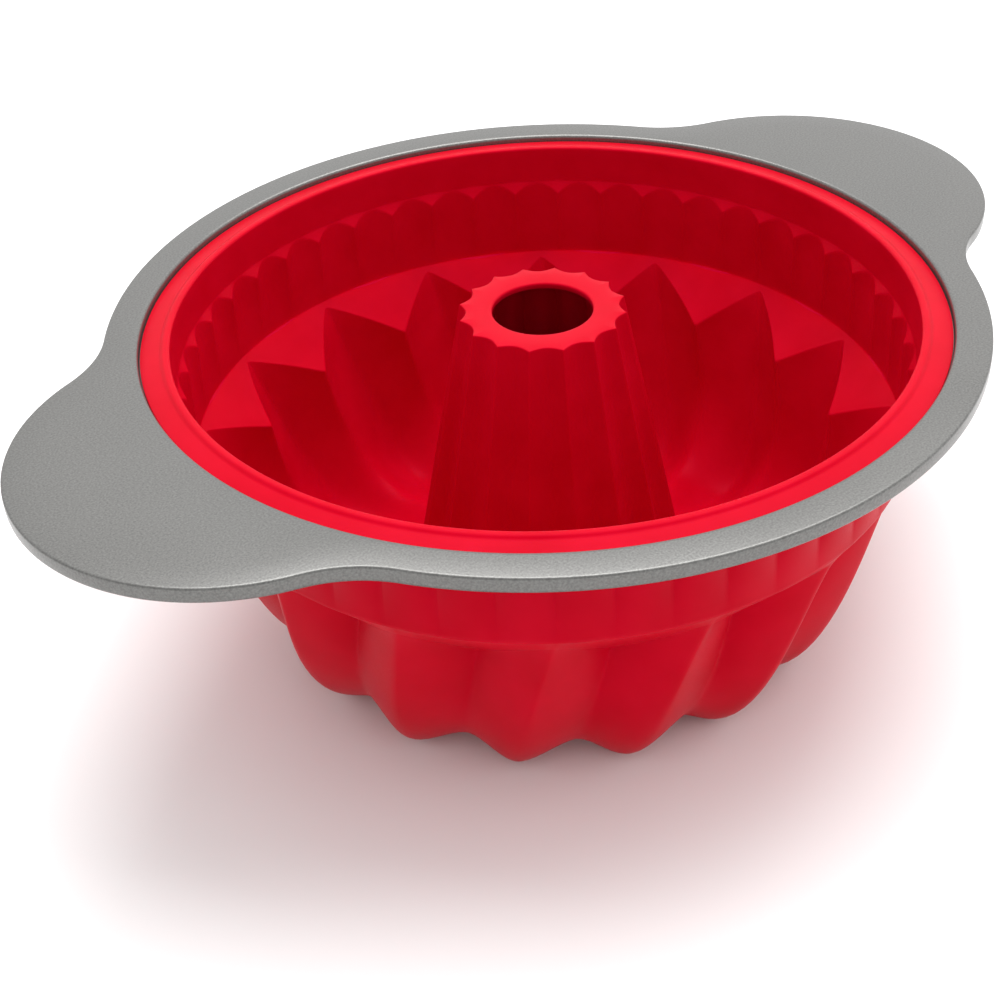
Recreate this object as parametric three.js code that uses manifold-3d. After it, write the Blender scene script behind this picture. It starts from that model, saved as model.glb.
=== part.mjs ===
// Bundt pan: a flexible moulded ring tin hung in a stiff steel frame with two handle lobes.
// Millimetres, +Z up, +X along the handles, origin under the middle of the base.
import * as THREE from 'three';
import { mergeVertices } from 'three/addons/utils/BufferGeometryUtils.js';
import Module from 'manifold-3d';

const wasm = await Module();
wasm.setup();

// Driving dimensions. Depths are measured down from the top of the deck.
const TOTAL_HEIGHT = 110;
const GAP = 0.3;
const SHEET = 0.8;
const WALL = 2;

// Frame outline: a ring, a round lobe at each end, and hollow fillets between them.
const RING_RADIUS = 131;
const LOBE_CENTRE = 107.75;
const LOBE_RADIUS = 62.4;
const FILLET_RADIUS = 38;
const FRAME_COLUMNS = 96;

// Rolled outer edge and the step down to the flange inside.
const EDGE_HEIGHT = 4.8;
const EDGE_BEND = 0.9;
const ROLL_WIDTH = 5;
const ROLL_LIP_DEPTH = 2.2;
const WIRE_RADIUS = 1.3;
const WIRE_SIDES = 6;
const STEP_RADIUS = 120.5;
const STEP_BEND = 1.2;
const FLANGE_INNER_RADIUS = 113.6;
const FLANGE_DEPTH = 2.9;

// Holes in the flange that the moulding grows through.
const POST_COUNT = 16;
const POST_RADIUS = 1.5;
const POST_CIRCLE = 116.9;
const POST_SIDES = 8;
const PIN_OVERSHOOT = 1;
const GROOVE_OVERSHOOT = 1;

// Bead and flat of the rim as [radius, depth] pairs, then its outer corner and underside.
const RIM_COLUMNS = 96;
const RIM_TOP = [[111.3, 2], [112.2, 0.6], [113.4, 0.6], [114.8, 1.5], [119.5, 1.4]];
const RIM_BEND = 0.5;
const RIM_BOTTOM_DEPTH = 5.8;

// Upper wall of the mould, with small cusped flutes that fade out at the ledge.
const WALL_TOP_RADIUS = 111.2;
const WALL_TOP_DEPTH = 4.5;
const LEDGE_RADIUS = 109.3;
const LEDGE_DEPTH = 40;
const SHOULDER_DEPTH = 37.8;
const FLUTE_COUNT = 45;
const FLUTE_COLUMNS = 3;
const FLUTE_PHASE = -0.9;
const FLUTE_TOP_DEPTH = 13;
const FLUTE_TIP_DEPTH = 16.5;
const FLUTE_NICHE_DEPTH = 18;
const FLUTE_TIP_INSET = 2;

// Swirled lobes of the bowl: CREST is the outermost line of a lobe, VALLEY lies between two lobes.
const LOBE_COUNT = 16;
const LOBE_COLUMNS = 6;
const CREST_ANGLE = 5.9;
const SWIRL_PER_MM = -0.125;
const CREST_INNER = [[107.6, 41.4], [102.2, 55], [97.6, 107.8], [75, 107.6]];
const CREST_OUTER = [[109.6, 41.2], [104.3, 54], [99.5, 110], [76, 110]];
const VALLEY_INNER = [[92.8, 53.8], [93, 74], [90.5, 101.5], [68, 102.5]];
const VALLEY_OUTER = [[94.6, 55.4], [94.4, 76], [92.3, 104.2], [70, 105]];
const LOBE_STATIONS = [0, 0.2, 0.38, 0.55, 0.7, 0.85, 1];
const FOOT_HALF_WIDTH = 1 / 6;
const FOOT_INNER_RADIUS = 68;
const FOOT_ROUNDING_START = 0.1;
const FOOT_ROUNDING_END = 0.9;
const TROUGH_RISE = 3;

// Centre tube, open from top to bottom, with one cusp for each lobe.
const TUBE_COLUMNS = 2;
const TUBE_PHASE = 18.6;
const TUBE_TOP_DEPTH = 1.4;
const TUBE_TOP_RADIUS = 25.5;
const TUBE_FOOT_RADIUS = 43.4;
const TUBE_FOOT_DEPTH = 90;
const TUBE_CUSP_TOP = 2.3;
const TUBE_CUSP_FOOT = 3.6;
const HOLE_RADIUS = 15.2;
const FLARE_WIDTH = 4;
const FLARE_DROP = 9;
const TROUGH_OFFSET = 14;

const MERGE_DISTANCE = 1e-4;

const radians = (degrees) => degrees * Math.PI / 180;

const mix = (a, b, t) => a + (b - a) * t;

function smooth(low, high, value) {
  const t = Math.min(Math.max((value - low) / (high - low), 0), 1);
  return t * t * (3 - 2 * t);
}

// A point on a Bezier arch through four [radius, depth] pairs.
function bezier([a, b, c, d], t) {
  const s = 1 - t;
  const weights = [s * s * s, 3 * s * s * t, 3 * s * t * t, t * t * t];
  return [0, 1].map((k) => weights[0] * a[k] + weights[1] * b[k] + weights[2] * c[k] + weights[3] * d[k]);
}

// A ring of points round the Z axis. place(u) gives [angle in degrees, radius, depth], u from 0 to 1.
function ring(count, place) {
  return Array.from({ length: count }, (unused, i) => {
    const [angle, radius, depth] = place(i / count);
    return {
      angle,
      point: [
        radius * Math.cos(radians(angle)),
        radius * Math.sin(radians(angle)),
        TOTAL_HEIGHT - depth,
      ],
    };
  });
}

const circle = (count, radius, depth) => ring(count, (u) => [360 * u, radius, depth]);

// Index of the point of ring b that lies nearest in angle to the first point of ring a.
function nearestStart(a, b) {
  const away = (angle) => Math.abs(((angle - a[0].angle) % 360 + 540) % 360 - 180);
  return b.reduce((best, { angle }, k) => (away(angle) < away(b[best].angle) ? k : best), 0);
}

// Triangles between two rings, walking round both in step, whatever their counts.
function stitch(a, b, startA, startB) {
  const faces = [];
  const offset = a.length === b.length ? 0 : nearestStart(a, b);
  let i = 0;
  let j = 0;
  while (i < a.length || j < b.length) {
    const hereA = startA + (i % a.length);
    const hereB = startB + ((j + offset) % b.length);
    if ((i + 1) * b.length <= (j + 1) * a.length) {
      faces.push(hereA, startA + ((i + 1) % a.length), hereB);
      i += 1;
    } else {
      faces.push(hereA, startB + ((j + 1 + offset) % b.length), hereB);
      j += 1;
    }
  }
  return faces;
}

// A closed solid from rings listed once round its cross-section, counterclockwise with Z up.
function solidFromRings(rings) {
  const positions = [];
  const starts = [];
  for (const points of rings) {
    starts.push(positions.length / 3);
    points.forEach(({ point }) => positions.push(...point));
  }
  const faces = [];
  rings.forEach((points, k) => {
    const next = (k + 1) % rings.length;
    faces.push(...stitch(points, rings[next], starts[k], starts[next]));
  });
  const geometry = new THREE.BufferGeometry();
  geometry.setAttribute('position', new THREE.Float32BufferAttribute(positions, 3));
  geometry.setIndex(faces);
  return geometry;
}

function toManifold(geometry) {
  const bare = geometry.clone();
  bare.deleteAttribute('normal');
  bare.deleteAttribute('uv');
  const merged = mergeVertices(bare, MERGE_DISTANCE);
  return new wasm.Manifold(new wasm.Mesh({
    numProp: 3,
    vertProperties: new Float32Array(merged.attributes.position.array),
    triVerts: new Uint32Array(merged.index.array),
  }));
}

function fromManifold(solid) {
  const mesh = solid.getMesh();
  const geometry = new THREE.BufferGeometry();
  geometry.setAttribute('position', new THREE.Float32BufferAttribute(mesh.vertProperties, mesh.numProp));
  geometry.setIndex(new THREE.Uint32BufferAttribute(mesh.triVerts, 1));
  return geometry;
}

// One upright pin of the post circle, used both for the posts and for their holes.
function pin(index, radius, topDepth, bottomDepth) {
  const geometry = new THREE.CylinderGeometry(radius, radius, bottomDepth - topDepth, POST_SIDES);
  geometry.rotateX(Math.PI / 2);
  const angle = radians(360 * (index + 0.5) / POST_COUNT);
  geometry.translate(
    POST_CIRCLE * Math.cos(angle),
    POST_CIRCLE * Math.sin(angle),
    TOTAL_HEIGHT - (topDepth + bottomDepth) / 2,
  );
  return toManifold(geometry);
}

function cutPins(solid, radius, topDepth, bottomDepth) {
  let result = solid;
  for (let index = 0; index < POST_COUNT; index += 1) {
    result = result.subtract(pin(index, radius, topDepth, bottomDepth));
  }
  return result;
}

// Distance from the axis to the frame outline, moved inward by inset, at an angle in degrees.
function outlineRadius(angle, inset) {
  const folded = Math.abs(Math.atan2(Math.sin(radians(angle)), Math.abs(Math.cos(radians(angle)))));
  const toFillet = RING_RADIUS + FILLET_RADIUS;
  const lobeToFillet = LOBE_RADIUS + FILLET_RADIUS;
  const filletX = (toFillet ** 2 - lobeToFillet ** 2 + LOBE_CENTRE ** 2) / (2 * LOBE_CENTRE);
  const filletY = Math.sqrt(toFillet ** 2 - filletX ** 2);
  const filletAngle = Math.atan2(filletY, filletX);
  const lobe = LOBE_RADIUS - inset;
  const joinX = LOBE_CENTRE + lobe * (filletX - LOBE_CENTRE) / lobeToFillet;
  const joinY = lobe * filletY / lobeToFillet;
  if (folded > filletAngle) {
    return RING_RADIUS - inset;
  }
  if (folded < Math.atan2(joinY, joinX)) {
    return LOBE_CENTRE * Math.cos(folded) + Math.sqrt(lobe ** 2 - (LOBE_CENTRE * Math.sin(folded)) ** 2);
  }
  const away = filletAngle - folded;
  const hollow = FILLET_RADIUS + inset;
  return toFillet * Math.cos(away) - Math.sqrt(hollow ** 2 - (toFillet * Math.sin(away)) ** 2);
}

const edgeRing = (inset, depth) => ring(FRAME_COLUMNS, (u) => [360 * u, outlineRadius(360 * u, inset), depth]);

const hoop = (radius, depth) => circle(FRAME_COLUMNS, radius, depth);

// One stamped sheet: perforated flange, step up to the flat deck, skirt and rolled edge.
function steelFrame() {
  const flangeBottom = FLANGE_DEPTH + SHEET;
  const stepOuter = STEP_RADIUS + SHEET;
  const rings = [
    hoop(FLANGE_INNER_RADIUS, FLANGE_DEPTH),
    hoop(FLANGE_INNER_RADIUS, flangeBottom),
    hoop(stepOuter, flangeBottom),
    hoop(stepOuter, STEP_BEND),
    hoop(stepOuter + STEP_BEND - SHEET, SHEET),
    edgeRing(EDGE_BEND, SHEET),
    edgeRing(SHEET, EDGE_BEND),
    edgeRing(SHEET, EDGE_HEIGHT - EDGE_BEND),
    edgeRing(EDGE_BEND, EDGE_HEIGHT - SHEET),
    edgeRing(ROLL_WIDTH - SHEET, EDGE_HEIGHT - SHEET),
    edgeRing(ROLL_WIDTH - SHEET, ROLL_LIP_DEPTH),
    edgeRing(ROLL_WIDTH, ROLL_LIP_DEPTH),
    edgeRing(ROLL_WIDTH, EDGE_HEIGHT - EDGE_BEND),
    edgeRing(ROLL_WIDTH - EDGE_BEND, EDGE_HEIGHT),
    edgeRing(EDGE_BEND, EDGE_HEIGHT),
    edgeRing(0, EDGE_HEIGHT - EDGE_BEND),
    edgeRing(0, EDGE_BEND),
    edgeRing(EDGE_BEND, 0),
    hoop(STEP_RADIUS + STEP_BEND, 0),
    hoop(STEP_RADIUS, STEP_BEND),
    hoop(STEP_RADIUS, FLANGE_DEPTH),
  ];
  const sheet = toManifold(solidFromRings(rings));
  const above = FLANGE_DEPTH - PIN_OVERSHOOT;
  const below = flangeBottom + PIN_OVERSHOOT;
  return fromManifold(cutPins(sheet, POST_RADIUS + GAP, above, below));
}

// Stiffening wire, wrapped all the way round by the rolled edge.
function rimWire() {
  const middleInset = ROLL_WIDTH / 2;
  const middleDepth = EDGE_HEIGHT / 2;
  const rings = Array.from({ length: WIRE_SIDES }, (unused, k) => {
    const turn = 2 * Math.PI * (k + 0.5) / WIRE_SIDES;
    return edgeRing(middleInset + WIRE_RADIUS * Math.cos(turn), middleDepth + WIRE_RADIUS * Math.sin(turn));
  });
  return solidFromRings(rings);
}

const wallRadius = (depth) => mix(
  WALL_TOP_RADIUS,
  LEDGE_RADIUS,
  (depth - WALL_TOP_DEPTH) / (LEDGE_DEPTH - WALL_TOP_DEPTH),
);

// Upper wall ring; the cusps point inward, stand out by inset, and lie offset outside the inner face.
function fluteRing(depth, tipDepth, inset, offset) {
  return ring(FLUTE_COUNT * FLUTE_COLUMNS, (u) => {
    const isCusp = Math.round(u * FLUTE_COUNT * FLUTE_COLUMNS) % FLUTE_COLUMNS === 0;
    const here = isCusp ? tipDepth : depth;
    return [360 * u + FLUTE_PHASE, wallRadius(here) - (isCusp ? inset : 0) + offset, here];
  });
}

const crestAngle = (depth) => CREST_ANGLE + SWIRL_PER_MM * (depth - LEDGE_DEPTH);

// How far a point is from a lobe's crest towards the valley, 0 to 1, rounder further down.
function valleyShare(fromCrest, station) {
  const sharp = 2 * fromCrest;
  const flatFoot = smooth(2 * FOOT_HALF_WIDTH, 1, sharp);
  return mix(sharp, flatFoot, smooth(FOOT_ROUNDING_START, FOOT_ROUNDING_END, station));
}

// Ring of the lobed bowl at a station from 0, the ledge, to 1, the bottom.
function lobeRing(crest, valley, station) {
  const crestPoint = bezier(crest, station);
  const valleyPoint = bezier(valley, station);
  const pitch = 360 / LOBE_COUNT;
  return ring(LOBE_COUNT * LOBE_COLUMNS, (u) => {
    const phase = (u * LOBE_COUNT) % 1;
    const share = valleyShare(Math.min(phase, 1 - phase), station);
    const depth = mix(crestPoint[1], valleyPoint[1], share);
    return [u * 360 + crestAngle(depth) - pitch, mix(crestPoint[0], valleyPoint[0], share), depth];
  });
}

// Ring of the trough floor between lobes and tube, raised where a valley runs in.
function floorRing(radius, depth) {
  const pitch = 360 / LOBE_COUNT;
  return ring(LOBE_COUNT * LOBE_COLUMNS, (u) => {
    const phase = (u * LOBE_COUNT) % 1;
    const share = valleyShare(Math.min(phase, 1 - phase), 1);
    return [u * 360 + crestAngle(TOTAL_HEIGHT) - pitch, radius, depth - TROUGH_RISE * share];
  });
}

// Ring of the centre tube: cusps at radius, hollows between them shallower by cusp.
function tubeRing(radius, depth, cusp) {
  const columns = LOBE_COUNT * TUBE_COLUMNS;
  return ring(columns, (u) => {
    const isCusp = Math.round(u * columns) % TUBE_COLUMNS === 0;
    return [360 * u + TUBE_PHASE - 360 / LOBE_COUNT, radius - (isCusp ? 0 : cusp), depth];
  });
}

// Cake side of the mould, from the tube's hole out to the top of the wall.
function innerRings() {
  return [
    circle(LOBE_COUNT * TUBE_COLUMNS, HOLE_RADIUS, TUBE_TOP_DEPTH),
    tubeRing(TUBE_TOP_RADIUS, TUBE_TOP_DEPTH, TUBE_CUSP_TOP),
    tubeRing(TUBE_FOOT_RADIUS, TUBE_FOOT_DEPTH, TUBE_CUSP_FOOT),
    tubeRing(TUBE_FOOT_RADIUS + FLARE_WIDTH, TUBE_FOOT_DEPTH + FLARE_DROP, TUBE_CUSP_FOOT / 2),
    floorRing(TUBE_FOOT_RADIUS + TROUGH_OFFSET, TOTAL_HEIGHT - WALL),
    ...LOBE_STATIONS.toReversed().map((station) => lobeRing(CREST_INNER, VALLEY_INNER, station)),
    fluteRing(LEDGE_DEPTH, LEDGE_DEPTH, 0, 0),
    fluteRing(FLUTE_NICHE_DEPTH, FLUTE_TIP_DEPTH, FLUTE_TIP_INSET, 0),
    fluteRing(FLUTE_TOP_DEPTH, FLUTE_TOP_DEPTH, 0, 0),
  ];
}

// Bead, flat rim and underside of the rim.
function rimRings() {
  const edge = STEP_RADIUS - GAP;
  const profile = [
    [WALL_TOP_RADIUS, WALL_TOP_DEPTH],
    ...RIM_TOP,
    [edge, RIM_TOP[RIM_TOP.length - 1][1] + RIM_BEND],
    [edge, RIM_BOTTOM_DEPTH - RIM_BEND],
    [edge - RIM_BEND, RIM_BOTTOM_DEPTH],
    [wallRadius(RIM_BOTTOM_DEPTH) + WALL, RIM_BOTTOM_DEPTH],
  ];
  return profile.map(([radius, depth]) => circle(RIM_COLUMNS, radius, depth));
}

// Outside of the mould, from under the rim down and in to the hollow of the tube.
function outerRings() {
  const tubeInside = TUBE_TOP_RADIUS - WALL;
  const flareDepth = TUBE_FOOT_DEPTH + FLARE_DROP + WALL / 2;
  return [
    fluteRing(FLUTE_TOP_DEPTH, FLUTE_TOP_DEPTH, 0, WALL),
    fluteRing(FLUTE_NICHE_DEPTH, FLUTE_TIP_DEPTH, FLUTE_TIP_INSET, WALL),
    fluteRing(SHOULDER_DEPTH, SHOULDER_DEPTH, 0, WALL),
    ...LOBE_STATIONS.map((station) => lobeRing(CREST_OUTER, VALLEY_OUTER, station)),
    floorRing(FOOT_INNER_RADIUS, TOTAL_HEIGHT),
    floorRing(TUBE_FOOT_RADIUS + TROUGH_OFFSET - WALL, TOTAL_HEIGHT - WALL / 2),
    tubeRing(TUBE_FOOT_RADIUS + FLARE_WIDTH - WALL, flareDepth, TUBE_CUSP_FOOT / 2),
    tubeRing(TUBE_FOOT_RADIUS - WALL, TUBE_FOOT_DEPTH, TUBE_CUSP_FOOT),
    tubeRing(tubeInside, TUBE_TOP_DEPTH + WALL, TUBE_CUSP_TOP),
    circle(LOBE_COUNT * TUBE_COLUMNS, HOLE_RADIUS, TUBE_TOP_DEPTH + WALL),
  ];
}

// The groove that the steel flange fills, crossed by the posts.
function flangeGroove() {
  const bottom = FLANGE_DEPTH + SHEET + GAP;
  const top = FLANGE_DEPTH - GAP;
  const profile = [
    [FLANGE_INNER_RADIUS - GAP, bottom],
    [STEP_RADIUS + GROOVE_OVERSHOOT, bottom],
    [STEP_RADIUS + GROOVE_OVERSHOOT, top],
    [FLANGE_INNER_RADIUS - GAP, top],
    [FLANGE_INNER_RADIUS - GAP, bottom],
  ];
  const points = profile.map(([radius, depth]) => new THREE.Vector2(radius, TOTAL_HEIGHT - depth));
  const geometry = new THREE.LatheGeometry(points, RIM_COLUMNS);
  geometry.rotateX(Math.PI / 2);
  return cutPins(toManifold(geometry), POST_RADIUS, top - PIN_OVERSHOOT, bottom + PIN_OVERSHOOT);
}

// One moulding: centre tube, swirled bowl, fluted wall and the rim that grips the flange.
function siliconeMould() {
  const rings = [...innerRings(), ...rimRings(), ...outerRings()].toReversed();
  return fromManifold(toManifold(solidFromRings(rings)).subtract(flangeGroove()));
}

const coatedSteel = () => new THREE.MeshStandardMaterial({ color: 0x9a9794, roughness: 0.5, metalness: 0.6 });

const bareSteel = () => new THREE.MeshStandardMaterial({ color: 0xb8b8b4, roughness: 0.35, metalness: 1 });

const redSilicone = () => new THREE.MeshStandardMaterial({ color: 0xc8040c, roughness: 0.45, metalness: 0 });

function addPiece(group, name, geometry, material) {
  const mesh = new THREE.Mesh(geometry, material);
  mesh.name = name;
  group.add(mesh);
}

const pan = new THREE.Group();
addPiece(pan, 'steel_frame', steelFrame(), coatedSteel());
addPiece(pan, 'rim_wire', rimWire(), bareSteel());
addPiece(pan, 'silicone_mould', siliconeMould(), redSilicone());

export default pan;
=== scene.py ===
"""Visual model of the bundt pan: a red silicone ring mould in a grey coated steel frame.

Sizes are in millimetres until a mesh is made. Depths are measured down from the top of the deck.
"""

import math

import bmesh
import bpy
import numpy as np
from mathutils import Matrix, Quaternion, Vector


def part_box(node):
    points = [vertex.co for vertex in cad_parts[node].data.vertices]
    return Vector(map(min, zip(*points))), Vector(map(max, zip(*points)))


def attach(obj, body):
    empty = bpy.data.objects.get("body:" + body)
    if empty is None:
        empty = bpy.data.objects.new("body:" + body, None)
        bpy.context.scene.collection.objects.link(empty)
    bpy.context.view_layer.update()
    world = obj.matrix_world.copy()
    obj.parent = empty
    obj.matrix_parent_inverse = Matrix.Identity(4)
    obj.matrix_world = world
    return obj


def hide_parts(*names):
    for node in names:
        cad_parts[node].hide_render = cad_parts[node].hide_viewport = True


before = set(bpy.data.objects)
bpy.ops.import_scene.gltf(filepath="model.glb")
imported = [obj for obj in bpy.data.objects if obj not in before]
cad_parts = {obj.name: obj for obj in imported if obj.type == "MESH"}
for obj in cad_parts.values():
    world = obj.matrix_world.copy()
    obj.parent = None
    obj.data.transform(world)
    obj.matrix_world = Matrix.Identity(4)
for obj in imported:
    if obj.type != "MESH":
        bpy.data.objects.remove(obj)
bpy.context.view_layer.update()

MM = 0.001
DECK_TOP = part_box("steel_frame")[1][2] / MM
SHEET = 0.8
WALL = 2

# Outline of the frame: ring, two lobes, hollow fillets between them.
RING_RADIUS = 131
LOBE_CENTRE = 107.75
LOBE_RADIUS = 62.4
FILLET_RADIUS = 38
FRAME_COLUMNS = 720

# Cross-section of the frame.
EDGE_HEIGHT = 4.8
ROLL_WIDTH = 5
ROLL_LIP_DEPTH = 2.2
WIRE_RADIUS = 1.3
WIRE_SIDES = 12
STEP_RADIUS = 120.5
STEP_BEND = 1.2
FLANGE_INNER_RADIUS = 113.6
FLANGE_DEPTH = 2.9
GAP = 0.3

# Upper wall of the mould.
WALL_TOP_RADIUS = 111.2
WALL_TOP_DEPTH = 4.5
LEDGE_RADIUS = 109.3
LEDGE_DEPTH = 40
SHOULDER_DEPTH = 37.8
FLUTE_COUNT = 45
FLUTE_PHASE = -0.9
FLUTE_TOP_DEPTH = 13
FLUTE_INSET = 2
FLUTE_CAP_SLOPE = 0.6

# Swirled lobes: the crest is the outermost line of a lobe, the valley lies between two lobes.
LOBE_COUNT = 16
CREST_ANGLE = 5.9
SWIRL_PER_MM = -0.125
CREST_INNER = [[107.6, 41.4], [102.2, 55], [97.6, 107.8], [75, 107.6]]
CREST_OUTER = [[109.6, 41.2], [104.3, 54], [99.5, 110], [76, 110]]
VALLEY_INNER = [[92.8, 53.8], [93, 74], [90.5, 101.5], [68, 102.5]]
VALLEY_OUTER = [[94.6, 55.4], [94.4, 76], [92.3, 104.2], [70, 105]]
LOBE_EDGE = 0.03
CREST_SOFTNESS = 0.3
VALLEY_SOFTNESS = 0.22
TUBE_PHASE = 18.6
TUBE_TOP_DEPTH = 1.4
TUBE_TOP_RADIUS = 25.5
TUBE_FOOT_RADIUS = 43.4
TUBE_FOOT_DEPTH = 90
TUBE_CUSP_TOP = 2.3
TUBE_CUSP_FOOT = 3.6
TROUGH_CREST_RADIUS = 60
TROUGH_VALLEY_RADIUS = 58
HOLE_RADIUS = 15.2

# Where the columns of the mesh stand across half a lobe, closest together at crest and valley.
HALF_LOBE = [0, 0.008, 0.02, 0.045, 0.09, 0.15, 0.22, 0.29, 0.36, 0.42, 0.462, 0.482, 0.493]
HALF_FLUTE = [0, 0.03, 0.09, 0.2, 0.35]


def mirrored(half):
    """Column places across a whole lobe or flute from those across half of it."""
    return np.array(half + [0.5] + [1 - u for u in reversed(half[1:])])


LOBE_PHASES = mirrored(HALF_LOBE)
FLUTE_PHASES = mirrored(HALF_FLUTE)


def bezier(points, t):
    """A point on a Bezier arch through four pairs."""
    s = 1 - t
    weights = np.array([s**3, 3 * s * s * t, 3 * s * t * t, t**3])
    return weights @ np.array(points, float)


def smooth(low, high, value):
    t = np.clip((value - low) / (high - low), 0, 1)
    return t * t * (3 - 2 * t)


def rounded(corners, steps=4):
    """Corners as (a, b, radius of the bend) turned into a row of points with the bends drawn in."""
    points = []
    count = len(corners)
    for k, (a, b, radius) in enumerate(corners):
        here = np.array([a, b], float)
        if radius == 0:
            points.append(here)
            continue
        before = np.array(corners[k - 1][:2]) - here
        after = np.array(corners[(k + 1) % count][:2]) - here
        start = here + before / np.linalg.norm(before) * radius
        end = here + after / np.linalg.norm(after) * radius
        for t in np.linspace(0, 1, steps + 1):
            points.append((1 - t) ** 2 * start + 2 * t * (1 - t) * here + t * t * end)
    return points


def ring(angles, radii, depths):
    """A ring of points round the Z axis; angles in degrees."""
    turn = np.radians(angles)
    radii = np.broadcast_to(radii, turn.shape)
    depths = np.broadcast_to(depths, turn.shape)
    return np.stack([radii * np.cos(turn), radii * np.sin(turn), DECK_TOP - depths], axis=1)


def stitch(count_a, count_b, start_a, start_b, offset):
    """Faces between two rings. Unequal rings are walked round in step, by triangles."""
    if count_a == count_b:
        return [
            (start_a + i, start_a + (i + 1) % count_a, start_b + (i + 1) % count_a, start_b + i)
            for i in range(count_a)
        ]
    faces = []
    i = j = 0
    while i < count_a or j < count_b:
        here_a = start_a + i % count_a
        here_b = start_b + (j + offset) % count_b
        if (i + 1) * count_b <= (j + 1) * count_a:
            faces.append((here_a, start_a + (i + 1) % count_a, here_b))
            i += 1
        else:
            faces.append((here_a, start_b + (j + 1 + offset) % count_b, here_b))
            j += 1
    return faces


def nearest_start(a, b):
    """Index of the point of ring b closest in angle to the first point of ring a."""
    first = math.atan2(a[0, 1], a[0, 0])
    away = (np.arctan2(b[:, 1], b[:, 0]) - first + math.pi) % (2 * math.pi) - math.pi
    return int(np.argmin(np.abs(away)))


def solid_from_rings(name, rings):
    """A closed mesh object from rings listed once round its cross-section."""
    starts = np.cumsum([0] + [len(points) for points in rings])
    faces = []
    for k, points in enumerate(rings):
        following = (k + 1) % len(rings)
        other = rings[following]
        offset = 0 if len(points) == len(other) else nearest_start(points, other)
        faces += stitch(len(points), len(other), int(starts[k]), int(starts[following]), offset)
    mesh = bpy.data.meshes.new(name)
    mesh.from_pydata((np.concatenate(rings) * MM).tolist(), [], faces)
    mesh.validate()
    mesh.update()
    body = bmesh.new()
    body.from_mesh(mesh)
    bmesh.ops.recalc_face_normals(body, faces=body.faces)
    body.to_mesh(mesh)
    body.free()
    mesh.polygons.foreach_set("use_smooth", [True] * len(mesh.polygons))
    piece = bpy.data.objects.new(name, mesh)
    bpy.context.scene.collection.objects.link(piece)
    return piece


def outline_radius(angles, inset):
    """Distance from the axis to the frame outline, moved inward by inset, at angles in degrees."""
    turn = np.radians(angles)
    folded = np.abs(np.arctan2(np.sin(turn), np.abs(np.cos(turn))))
    to_fillet = RING_RADIUS + FILLET_RADIUS
    lobe_to_fillet = LOBE_RADIUS + FILLET_RADIUS
    fillet_x = (to_fillet**2 - lobe_to_fillet**2 + LOBE_CENTRE**2) / (2 * LOBE_CENTRE)
    fillet_y = math.sqrt(to_fillet**2 - fillet_x**2)
    fillet_angle = math.atan2(fillet_y, fillet_x)
    lobe = LOBE_RADIUS - inset
    join = math.atan2(
        lobe * fillet_y / lobe_to_fillet,
        LOBE_CENTRE + lobe * (fillet_x - LOBE_CENTRE) / lobe_to_fillet,
    )
    across = np.minimum(LOBE_CENTRE * np.sin(folded), lobe)
    on_lobe = LOBE_CENTRE * np.cos(folded) + np.sqrt(lobe**2 - across**2)
    away = np.clip(fillet_angle - folded, 0, fillet_angle - join)
    hollow = FILLET_RADIUS + inset
    on_fillet = to_fillet * np.cos(away) - np.sqrt(hollow**2 - (to_fillet * np.sin(away)) ** 2)
    on_ring = np.full_like(folded, RING_RADIUS - inset)
    return np.where(folded > fillet_angle, on_ring, np.where(folded < join, on_lobe, on_fillet))


FRAME_ANGLES = np.arange(FRAME_COLUMNS) * 360 / FRAME_COLUMNS


def edge_ring(inset, depth):
    return ring(FRAME_ANGLES, outline_radius(FRAME_ANGLES, inset), depth)


def hoop(radius, depth):
    return ring(FRAME_ANGLES, radius, depth)


def steel_frame():
    """The stamped sheet: flange, step, deck, skirt and the edge rolled round the wire.

    The points are (radius or inset, depth, radius of the bend); only the roll is given by insets.
    """
    flange_bottom = FLANGE_DEPTH + SHEET
    step_outer = STEP_RADIUS + SHEET
    under = [
        (FLANGE_INNER_RADIUS, FLANGE_DEPTH, 0.2),
        (FLANGE_INNER_RADIUS, flange_bottom, 0.2),
        (step_outer, flange_bottom, 0.9),
        (step_outer, SHEET, STEP_BEND - SHEET),
    ]
    roll = [
        (SHEET, SHEET, 0.5),
        (SHEET, EDGE_HEIGHT - SHEET, 0.6),
        (ROLL_WIDTH - SHEET, EDGE_HEIGHT - SHEET, 0.6),
        (ROLL_WIDTH - SHEET, ROLL_LIP_DEPTH, 0.25),
        (ROLL_WIDTH, ROLL_LIP_DEPTH, 0.25),
        (ROLL_WIDTH, EDGE_HEIGHT, 1.3),
        (0, EDGE_HEIGHT, 1.1),
        (0, 0, 0.8),
    ]
    top = [
        (STEP_RADIUS, 0, STEP_BEND),
        (STEP_RADIUS, FLANGE_DEPTH, 0.3),
    ]
    start = [(FLANGE_INNER_RADIUS + 2, FLANGE_DEPTH, 0)]
    rings = [hoop(*point) for point in rounded(start + under + [(step_outer + 4, SHEET, 0)])[:-1]]
    rings += [edge_ring(*point) for point in rounded([(9, SHEET, 0)] + roll + [(9, 0, 0)])]
    rings += [hoop(*point) for point in rounded([(step_outer + 3, 0, 0)] + top + start)[1:-1]]
    return solid_from_rings("steel_frame_sheet", rings)


def rim_wire():
    """The round wire inside the rolled edge."""
    turns = 2 * math.pi * np.arange(WIRE_SIDES) / WIRE_SIDES
    insets = ROLL_WIDTH / 2 + WIRE_RADIUS * np.cos(turns)
    depths = EDGE_HEIGHT / 2 + WIRE_RADIUS * np.sin(turns)
    rings = [edge_ring(inset, depth) for inset, depth in zip(insets, depths)]
    return solid_from_rings("rim_wire_round", rings)


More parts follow.
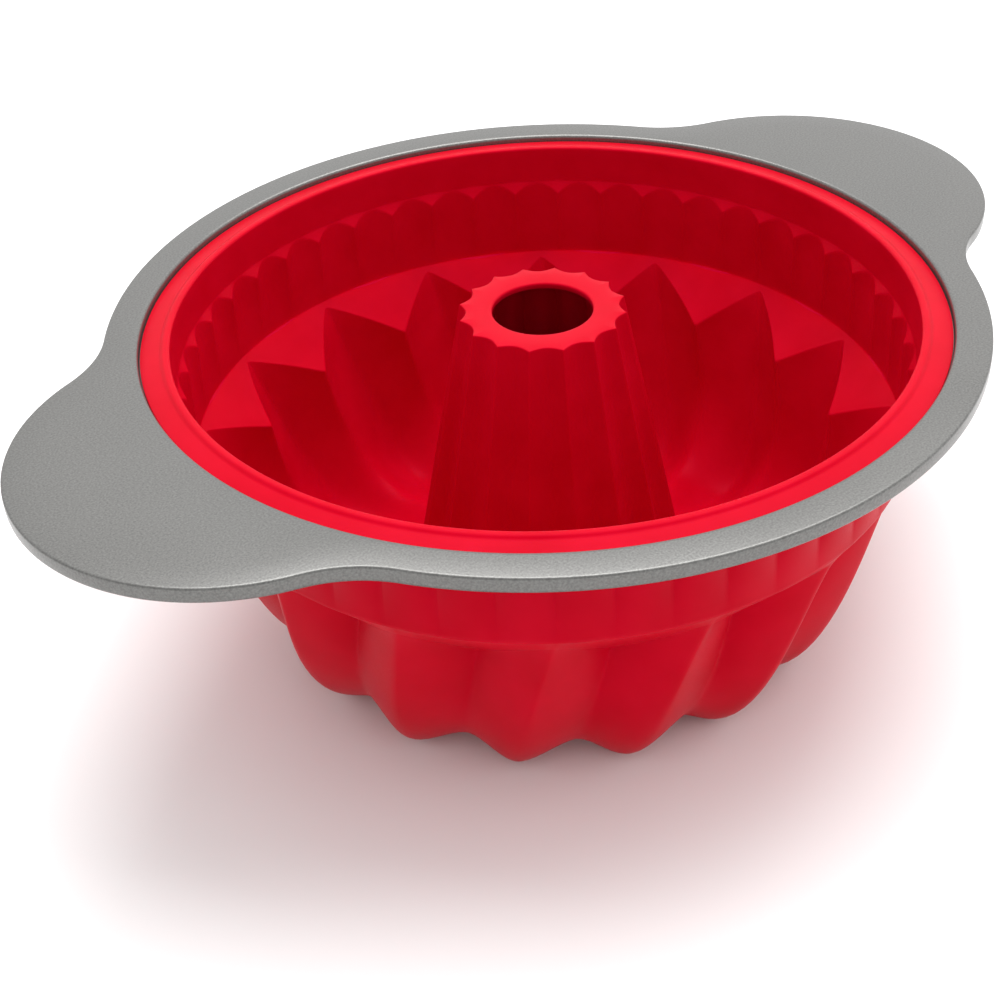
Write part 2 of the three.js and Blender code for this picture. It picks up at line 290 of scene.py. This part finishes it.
def wall_radius(depth):
    """Inner radius of the upper wall, which narrows evenly down to the ledge."""
    share = (depth - WALL_TOP_DEPTH) / (LEDGE_DEPTH - WALL_TOP_DEPTH)
    return WALL_TOP_RADIUS + (LEDGE_RADIUS - WALL_TOP_RADIUS) * share


def flute_angles():
    pitch = 360 / FLUTE_COUNT
    steps = np.arange(FLUTE_COUNT)[:, None] + FLUTE_PHASES[None, :-1]
    return (steps * pitch).ravel() + FLUTE_PHASE


FLUTE_ANGLES = flute_angles()


def flute_rings(offset, soften, foot):
    """Upper wall from the smooth band down to the ledge; the cusps fade out on the way."""
    phases = np.tile(FLUTE_PHASES[:-1], FLUTE_COUNT)
    peak = np.sqrt((1 - 2 * phases) ** 2 + soften**2) - soften
    cusp = (peak / peak.max()) ** 2
    fade_start = FLUTE_TOP_DEPTH + FLUTE_INSET / FLUTE_CAP_SLOPE
    cap_foot = FLUTE_TOP_DEPTH + 0.3 + cusp * FLUTE_INSET / FLUTE_CAP_SLOPE
    rings = []
    for share in (-0.25, 0, 0.08, 0.3, 0.6, 0.92, 1.0):
        depth = FLUTE_TOP_DEPTH + (cap_foot - FLUTE_TOP_DEPTH) * share
        out = np.maximum(share, 0) * cusp * FLUTE_INSET
        rings.append(ring(FLUTE_ANGLES, wall_radius(depth) - out + offset, depth))
    for share in (0.04, 0.15, 0.32, 0.5, 0.68, 0.84, 0.95, 0.985):
        depth = cap_foot + (foot - cap_foot) * share
        fade = 1 - np.clip((depth - fade_start) / (foot - fade_start), 0, 1)
        rings.append(ring(FLUTE_ANGLES, wall_radius(depth) - cusp * FLUTE_INSET * fade + offset, depth))
    return rings


LOBE_PLACES = (np.arange(LOBE_COUNT)[:, None] + LOBE_PHASES[None, :-1]).ravel()
FROM_CREST = np.tile(np.minimum(LOBE_PHASES, 1 - LOBE_PHASES)[:-1], LOBE_COUNT)
SCALLOP = np.sqrt((1 - (1 - 2 * FROM_CREST) ** 2) ** 2 + 0.02**2)
FLUTE_EDGE = 0.04


def crest_angle(depth):
    return CREST_ANGLE + SWIRL_PER_MM * (depth - LEDGE_DEPTH)


def valley_share(crest_bend, valley_bend):
    """0 at a lobe's crest, 1 at the valley; the bends say how round each of them is."""
    near = 2 * FROM_CREST
    far = 1 - near
    share = near + (np.sqrt(near**2 + crest_bend**2) - near) - (np.sqrt(far**2 + valley_bend**2) - far)
    low = crest_bend - (math.sqrt(1 + valley_bend**2) - 1)
    high = 1 + (math.sqrt(1 + crest_bend**2) - 1) - valley_bend
    return (share - low) / (high - low)


def lobe_ring(crest, valley, share, turn=None):
    """A ring through a crest point and a valley point, each (radius, depth)."""
    radii = crest[0] + (valley[0] - crest[0]) * share
    depths = crest[1] + (valley[1] - crest[1]) * share
    swirl = crest_angle(depths) if turn is None else turn
    return ring(LOBE_PLACES * 360 / LOBE_COUNT + swirl, radii, depths)


def lobe_rings(crest, valley, stations):
    rings = []
    for t in stations:
        crest_bend = LOBE_EDGE + CREST_SOFTNESS * smooth(0.3, 0.95, t)
        valley_bend = LOBE_EDGE + VALLEY_SOFTNESS * smooth(0.1, 0.9, t)
        rings.append(lobe_ring(bezier(crest, t), bezier(valley, t), valley_share(crest_bend, valley_bend)))
    return rings


def ledge_rings(crest, valley, radius, depth):
    """The sloping ledge between the round shoulder and the zigzag tops of the lobes."""
    share = valley_share(LOBE_EDGE, LOBE_EDGE)
    rings = []
    for t in (0.0, 0.04, 0.15, 0.4, 0.65, 0.85, 0.96):
        near = np.array(crest[0]) * t + np.array([radius, depth]) * (1 - t)
        far = np.array(valley[0]) * t + np.array([radius, depth]) * (1 - t)
        rings.append(lobe_ring(near, far, share))
    return rings


def tube_rings(crest_start, valley_start, lift, inside):
    """From the floor between lobes and tube up the tube's wall, stopping short of its top."""
    foot = TUBE_FOOT_DEPTH + 3
    cusp_foot = TUBE_FOOT_RADIUS + 0.6 - inside
    hollow_foot = cusp_foot - TUBE_CUSP_FOOT
    crest_depth = crest_start[1]
    valley_depth = valley_start[1]
    crest = [
        crest_start,
        [TROUGH_CREST_RADIUS - inside, crest_depth],
        [cusp_foot + 4, crest_depth - 1],
        [cusp_foot, foot],
    ]
    valley = [
        valley_start,
        [TROUGH_VALLEY_RADIUS - inside, valley_depth],
        [hollow_foot + 5, valley_depth],
        [hollow_foot, foot - 1],
    ]
    turn = TUBE_PHASE - 360 / LOBE_COUNT
    foot_soft = LOBE_EDGE + CREST_SOFTNESS
    rings = []
    for t in np.linspace(0, 1, 15)[1:]:
        blend = smooth(0, 1, t)
        share = valley_share(foot_soft * (1 - blend) + FLUTE_EDGE * blend, 0.25 + 0.1 * blend)
        swirl = crest_angle(DECK_TOP) * (1 - blend) + turn * blend
        rings.append(lobe_ring(bezier(crest, t), bezier(valley, t), share, turn=swirl))
    top_radius = TUBE_TOP_RADIUS - inside
    for t in (0.1, 0.22, 0.35, 0.5, 0.64, 0.77, 0.88, 0.95, 0.985, 1):
        share = valley_share(FLUTE_EDGE, 0.35) * (1 - t) + SCALLOP * t
        near = (cusp_foot + (top_radius - cusp_foot) * t, foot + (lift - foot) * t)
        far_radius = hollow_foot + (top_radius - TUBE_CUSP_TOP - hollow_foot) * t
        far = (far_radius, foot - 1 + (lift - foot + 1) * t)
        rings.append(lobe_ring(near, far, share, turn=turn))
    return rings


def cap_rings():
    """The flat star on top of the tube and the edge of its hole."""
    turn = TUBE_PHASE - 360 / LOBE_COUNT
    rings = []
    for inset, depth in ((0.04, TUBE_TOP_DEPTH + 0.25), (0.16, TUBE_TOP_DEPTH + 0.07), (0.4, TUBE_TOP_DEPTH)):
        near = (TUBE_TOP_RADIUS - inset, depth)
        far = (TUBE_TOP_RADIUS - TUBE_CUSP_TOP - inset, depth)
        rings.append(lobe_ring(near, far, SCALLOP, turn=turn))
    hole = rounded([
        (20.5, TUBE_TOP_DEPTH, 0),
        (HOLE_RADIUS, TUBE_TOP_DEPTH, 0.8),
        (HOLE_RADIUS, TUBE_TOP_DEPTH + WALL, 0.4),
        (TUBE_TOP_RADIUS - WALL - TUBE_CUSP_TOP - 1, TUBE_TOP_DEPTH + WALL, 0),
    ])
    angles = LOBE_PLACES * 360 / LOBE_COUNT + turn
    rings += [ring(angles, radius, depth) for radius, depth in hole]
    return rings


def rim_rings():
    """Bead, groove and flat of the rim, the slot that holds the flange, and the underside."""
    slot_top = FLANGE_DEPTH - GAP
    slot_bottom = FLANGE_DEPTH + SHEET + GAP
    outer = STEP_RADIUS - GAP - 0.1
    profile = rounded([
        (wall_radius(10), 10, 0),
        (WALL_TOP_RADIUS, WALL_TOP_DEPTH, 0),
        (WALL_TOP_RADIUS, 0.5, 0.9),
        (113.3, 0.45, 0.6),
        (114.3, 1.2, 0.5),
        (outer, 2.05, 0.2),
        (outer, slot_top, 0.15),
        (FLANGE_INNER_RADIUS - GAP, slot_top, 0.15),
        (FLANGE_INNER_RADIUS - GAP, slot_bottom, 0.15),
        (outer, slot_bottom, 0.15),
        (outer, 5.8, 0.6),
        (wall_radius(5.8) + WALL, 5.8, 0.8),
        (wall_radius(10) + WALL, 10, 0),
    ])
    return [ring(FLUTE_ANGLES, radius, depth) for radius, depth in profile]


STATIONS = [0.0, 0.01, 0.03, 0.06, 0.1] + list(np.linspace(0.15, 1, 20))


def silicone_mould():
    """The whole moulding as one closed skin."""
    inner = cap_rings()[::-1]
    inner += tube_rings(CREST_INNER[3], VALLEY_INNER[3], TUBE_TOP_DEPTH + 0.5, 0)[::-1]
    inner += lobe_rings(CREST_INNER, VALLEY_INNER, STATIONS)[::-1]
    inner += ledge_rings(CREST_INNER, VALLEY_INNER, LEDGE_RADIUS, LEDGE_DEPTH)[::-1]
    inner += flute_rings(0, 0.02, LEDGE_DEPTH)[::-1]
    outer = flute_rings(WALL, 0.12, SHOULDER_DEPTH)
    outer += ledge_rings(CREST_OUTER, VALLEY_OUTER, LEDGE_RADIUS + WALL, SHOULDER_DEPTH)
    outer += lobe_rings(CREST_OUTER, VALLEY_OUTER, STATIONS)
    outer += tube_rings(CREST_OUTER[3], VALLEY_OUTER[3], TUBE_TOP_DEPTH + WALL, WALL)
    return solid_from_rings("silicone_mould_body", inner + rim_rings() + outer)


DEEP_RED = (0.48, 0.0, 0.010)
BRIGHT_RED = (0.53, 0.001, 0.014)
DARK_COATING = (0.122, 0.121, 0.116)
LIGHT_COATING = (0.195, 0.193, 0.186)
DARK_STEEL = (0.45, 0.45, 0.43)
LIGHT_STEEL = (0.62, 0.62, 0.6)


def principled(name):
    material = bpy.data.materials.new(name)
    material.use_nodes = True
    tree = material.node_tree
    return material, tree, tree.nodes["Principled BSDF"]


def noise(tree, scale, detail, vector):
    node = tree.nodes.new("ShaderNodeTexNoise")
    node.inputs["Scale"].default_value = scale
    node.inputs["Detail"].default_value = detail
    tree.links.new(vector, node.inputs["Vector"])
    return node.outputs["Fac"]


def span(tree, value, low, high):
    """Maps the middle of a noise to the range from low to high."""
    node = tree.nodes.new("ShaderNodeMapRange")
    node.inputs["From Min"].default_value = 0.3
    node.inputs["From Max"].default_value = 0.7
    node.inputs["To Min"].default_value = low
    node.inputs["To Max"].default_value = high
    tree.links.new(value, node.inputs["Value"])
    return node.outputs["Result"]


def two_tone(tree, value, dark, light):
    node = tree.nodes.new("ShaderNodeMix")
    node.data_type = "RGBA"
    node.inputs["A"].default_value = (*dark, 1)
    node.inputs["B"].default_value = (*light, 1)
    tree.links.new(value, node.inputs["Factor"])
    return node.outputs["Result"]


def bumped(tree, shader, height, strength, distance):
    node = tree.nodes.new("ShaderNodeBump")
    node.inputs["Strength"].default_value = strength
    node.inputs["Distance"].default_value = distance
    tree.links.new(height, node.inputs["Height"])
    tree.links.new(node.outputs["Normal"], shader.inputs["Normal"])


def silicone_material():
    material, tree, shader = principled("red_silicone")
    place = tree.nodes.new("ShaderNodeTexCoord").outputs["Object"]
    cloud = span(tree, noise(tree, 60, 3, place), 0, 1)
    grain = noise(tree, 2600, 2, place)
    tree.links.new(two_tone(tree, cloud, DEEP_RED, BRIGHT_RED), shader.inputs["Base Color"])
    tree.links.new(span(tree, grain, 0.34, 0.42), shader.inputs["Roughness"])
    shader.inputs["Specular IOR Level"].default_value = 0.07
    shader.inputs["Specular Tint"].default_value = (1, 0.12, 0.3, 1)
    shader.inputs["Subsurface Weight"].default_value = 0.12
    shader.inputs["Subsurface Radius"].default_value = (1.0, 0.05, 0.05)
    shader.inputs["Subsurface Scale"].default_value = 0.003
    bumped(tree, shader, grain, 0.08, 0.0002)
    return material


def coated_steel_material():
    material, tree, shader = principled("grey_coated_steel")
    place = tree.nodes.new("ShaderNodeTexCoord").outputs["Object"]
    speckle = span(tree, noise(tree, 1700, 3, place), 0, 1)
    cloud = noise(tree, 25, 2, place)
    tree.links.new(two_tone(tree, speckle, DARK_COATING, LIGHT_COATING), shader.inputs["Base Color"])
    tree.links.new(span(tree, cloud, 0.27, 0.33), shader.inputs["Roughness"])
    shader.inputs["Metallic"].default_value = 0.65
    bumped(tree, shader, speckle, 0.12, 0.0001)
    return material


def bare_steel_material():
    material, tree, shader = principled("drawn_wire_steel")
    place = tree.nodes.new("ShaderNodeTexCoord").outputs["Object"]
    streak = noise(tree, 900, 2, place)
    tree.links.new(two_tone(tree, streak, DARK_STEEL, LIGHT_STEEL), shader.inputs["Base Color"])
    tree.links.new(span(tree, streak, 0.28, 0.4), shader.inputs["Roughness"])
    shader.inputs["Metallic"].default_value = 1
    return material


def dress(piece, node, material):
    """Gives a piece its material and puts it in place of a CAD node."""
    piece.data.materials.append(material)
    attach(piece, "root")
    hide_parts(node)


def add_floor():
    material, tree, shader = principled("pale_floor")
    shader.inputs["Base Color"].default_value = (0.9, 0.9, 0.9, 1)
    shader.inputs["Roughness"].default_value = 0.9
    shader.inputs["Specular IOR Level"].default_value = 0.1
    half = 8
    mesh = bpy.data.meshes.new("floor")
    corners = [(-half, -half, 0), (half, -half, 0), (half, half, 0), (-half, half, 0)]
    mesh.from_pydata(corners, [], [(0, 1, 2, 3)])
    mesh.materials.append(material)
    floor = bpy.data.objects.new("floor", mesh)
    bpy.context.scene.collection.objects.link(floor)


def direction(azimuth, elevation):
    """Unit vector away from the pan; azimuth 0 is the front, 90 the right-hand side."""
    a, e = math.radians(azimuth), math.radians(elevation)
    return Vector((math.sin(a) * math.cos(e), -math.cos(a) * math.cos(e), math.sin(e)))


def add_area_light(name, azimuth, elevation, distance, size, power):
    """A square soft light that faces the middle of the pan."""
    target = Vector((0, 0, 0.05))
    toward = direction(azimuth, elevation)
    data = bpy.data.lights.new(name, "AREA")
    data.size = size
    data.energy = power
    lamp = bpy.data.objects.new(name, data)
    lamp.location = target + toward * distance
    lamp.rotation_mode = "QUATERNION"
    lamp.rotation_quaternion = (-toward).to_track_quat("-Z", "Y")
    bpy.context.scene.collection.objects.link(lamp)


def add_world(dark, bright, azimuth, elevation):
    """A white dome, brightest towards one direction and darkest opposite to it."""
    world = bpy.data.worlds.new("studio")
    world.use_nodes = True
    tree = world.node_tree
    background = tree.nodes["Background"]
    background.inputs["Color"].default_value = (1, 1, 1, 1)
    alignment = tree.nodes.new("ShaderNodeVectorMath")
    alignment.operation = "DOT_PRODUCT"
    alignment.inputs[1].default_value = direction(azimuth, elevation)
    tree.links.new(tree.nodes.new("ShaderNodeTexCoord").outputs["Generated"], alignment.inputs[0])
    brightness = tree.nodes.new("ShaderNodeMapRange")
    brightness.inputs["From Min"].default_value = -1
    brightness.inputs["To Min"].default_value = dark
    brightness.inputs["To Max"].default_value = bright
    tree.links.new(alignment.outputs["Value"], brightness.inputs["Value"])
    tree.links.new(brightness.outputs["Result"], background.inputs["Strength"])
    bpy.context.scene.world = world


# Angles in degrees as direction() takes them, distance in metres, lens and sensor in millimetres.
CAMERA_AZIMUTH = -39.232
CAMERA_ELEVATION = 29.636
CAMERA_DISTANCE = 0.51173
LOOK_AZIMUTH = -37.177
LOOK_ELEVATION = 36.161
CAMERA_ROLL = -3.21
CAMERA_LENS = 61.02
CAMERA_SENSOR = 36


def add_camera():
    """Stands above and to the front left of the pan and looks at the bowl under the deck."""
    centre = Vector((0, 0, DECK_TOP * MM))
    back = direction(CAMERA_AZIMUTH, CAMERA_ELEVATION)
    look = -direction(LOOK_AZIMUTH, LOOK_ELEVATION)
    roll = Quaternion((0, 0, 1), math.radians(CAMERA_ROLL))
    data = bpy.data.cameras.new("camera")
    data.sensor_width = CAMERA_SENSOR
    data.lens = CAMERA_LENS
    data.clip_start = 0.01
    data.clip_end = 100
    camera = bpy.data.objects.new("camera", data)
    camera.location = centre + back * CAMERA_DISTANCE
    camera.rotation_mode = "QUATERNION"
    camera.rotation_quaternion = look.to_track_quat("-Z", "Y") @ roll
    bpy.context.scene.collection.objects.link(camera)
    bpy.context.scene.camera = camera


bpy.context.scene.view_settings.view_transform = "Standard"
add_camera()
add_floor()
add_world(dark=0.35, bright=1.35, azimuth=115, elevation=55)
add_area_light("overhead_soft_light", azimuth=125, elevation=75, distance=1.6, size=1.3, power=25)
dress(steel_frame(), "steel_frame", coated_steel_material())
dress(rim_wire(), "rim_wire", bare_steel_material())
dress(silicone_mould(), "silicone_mould", silicone_material())
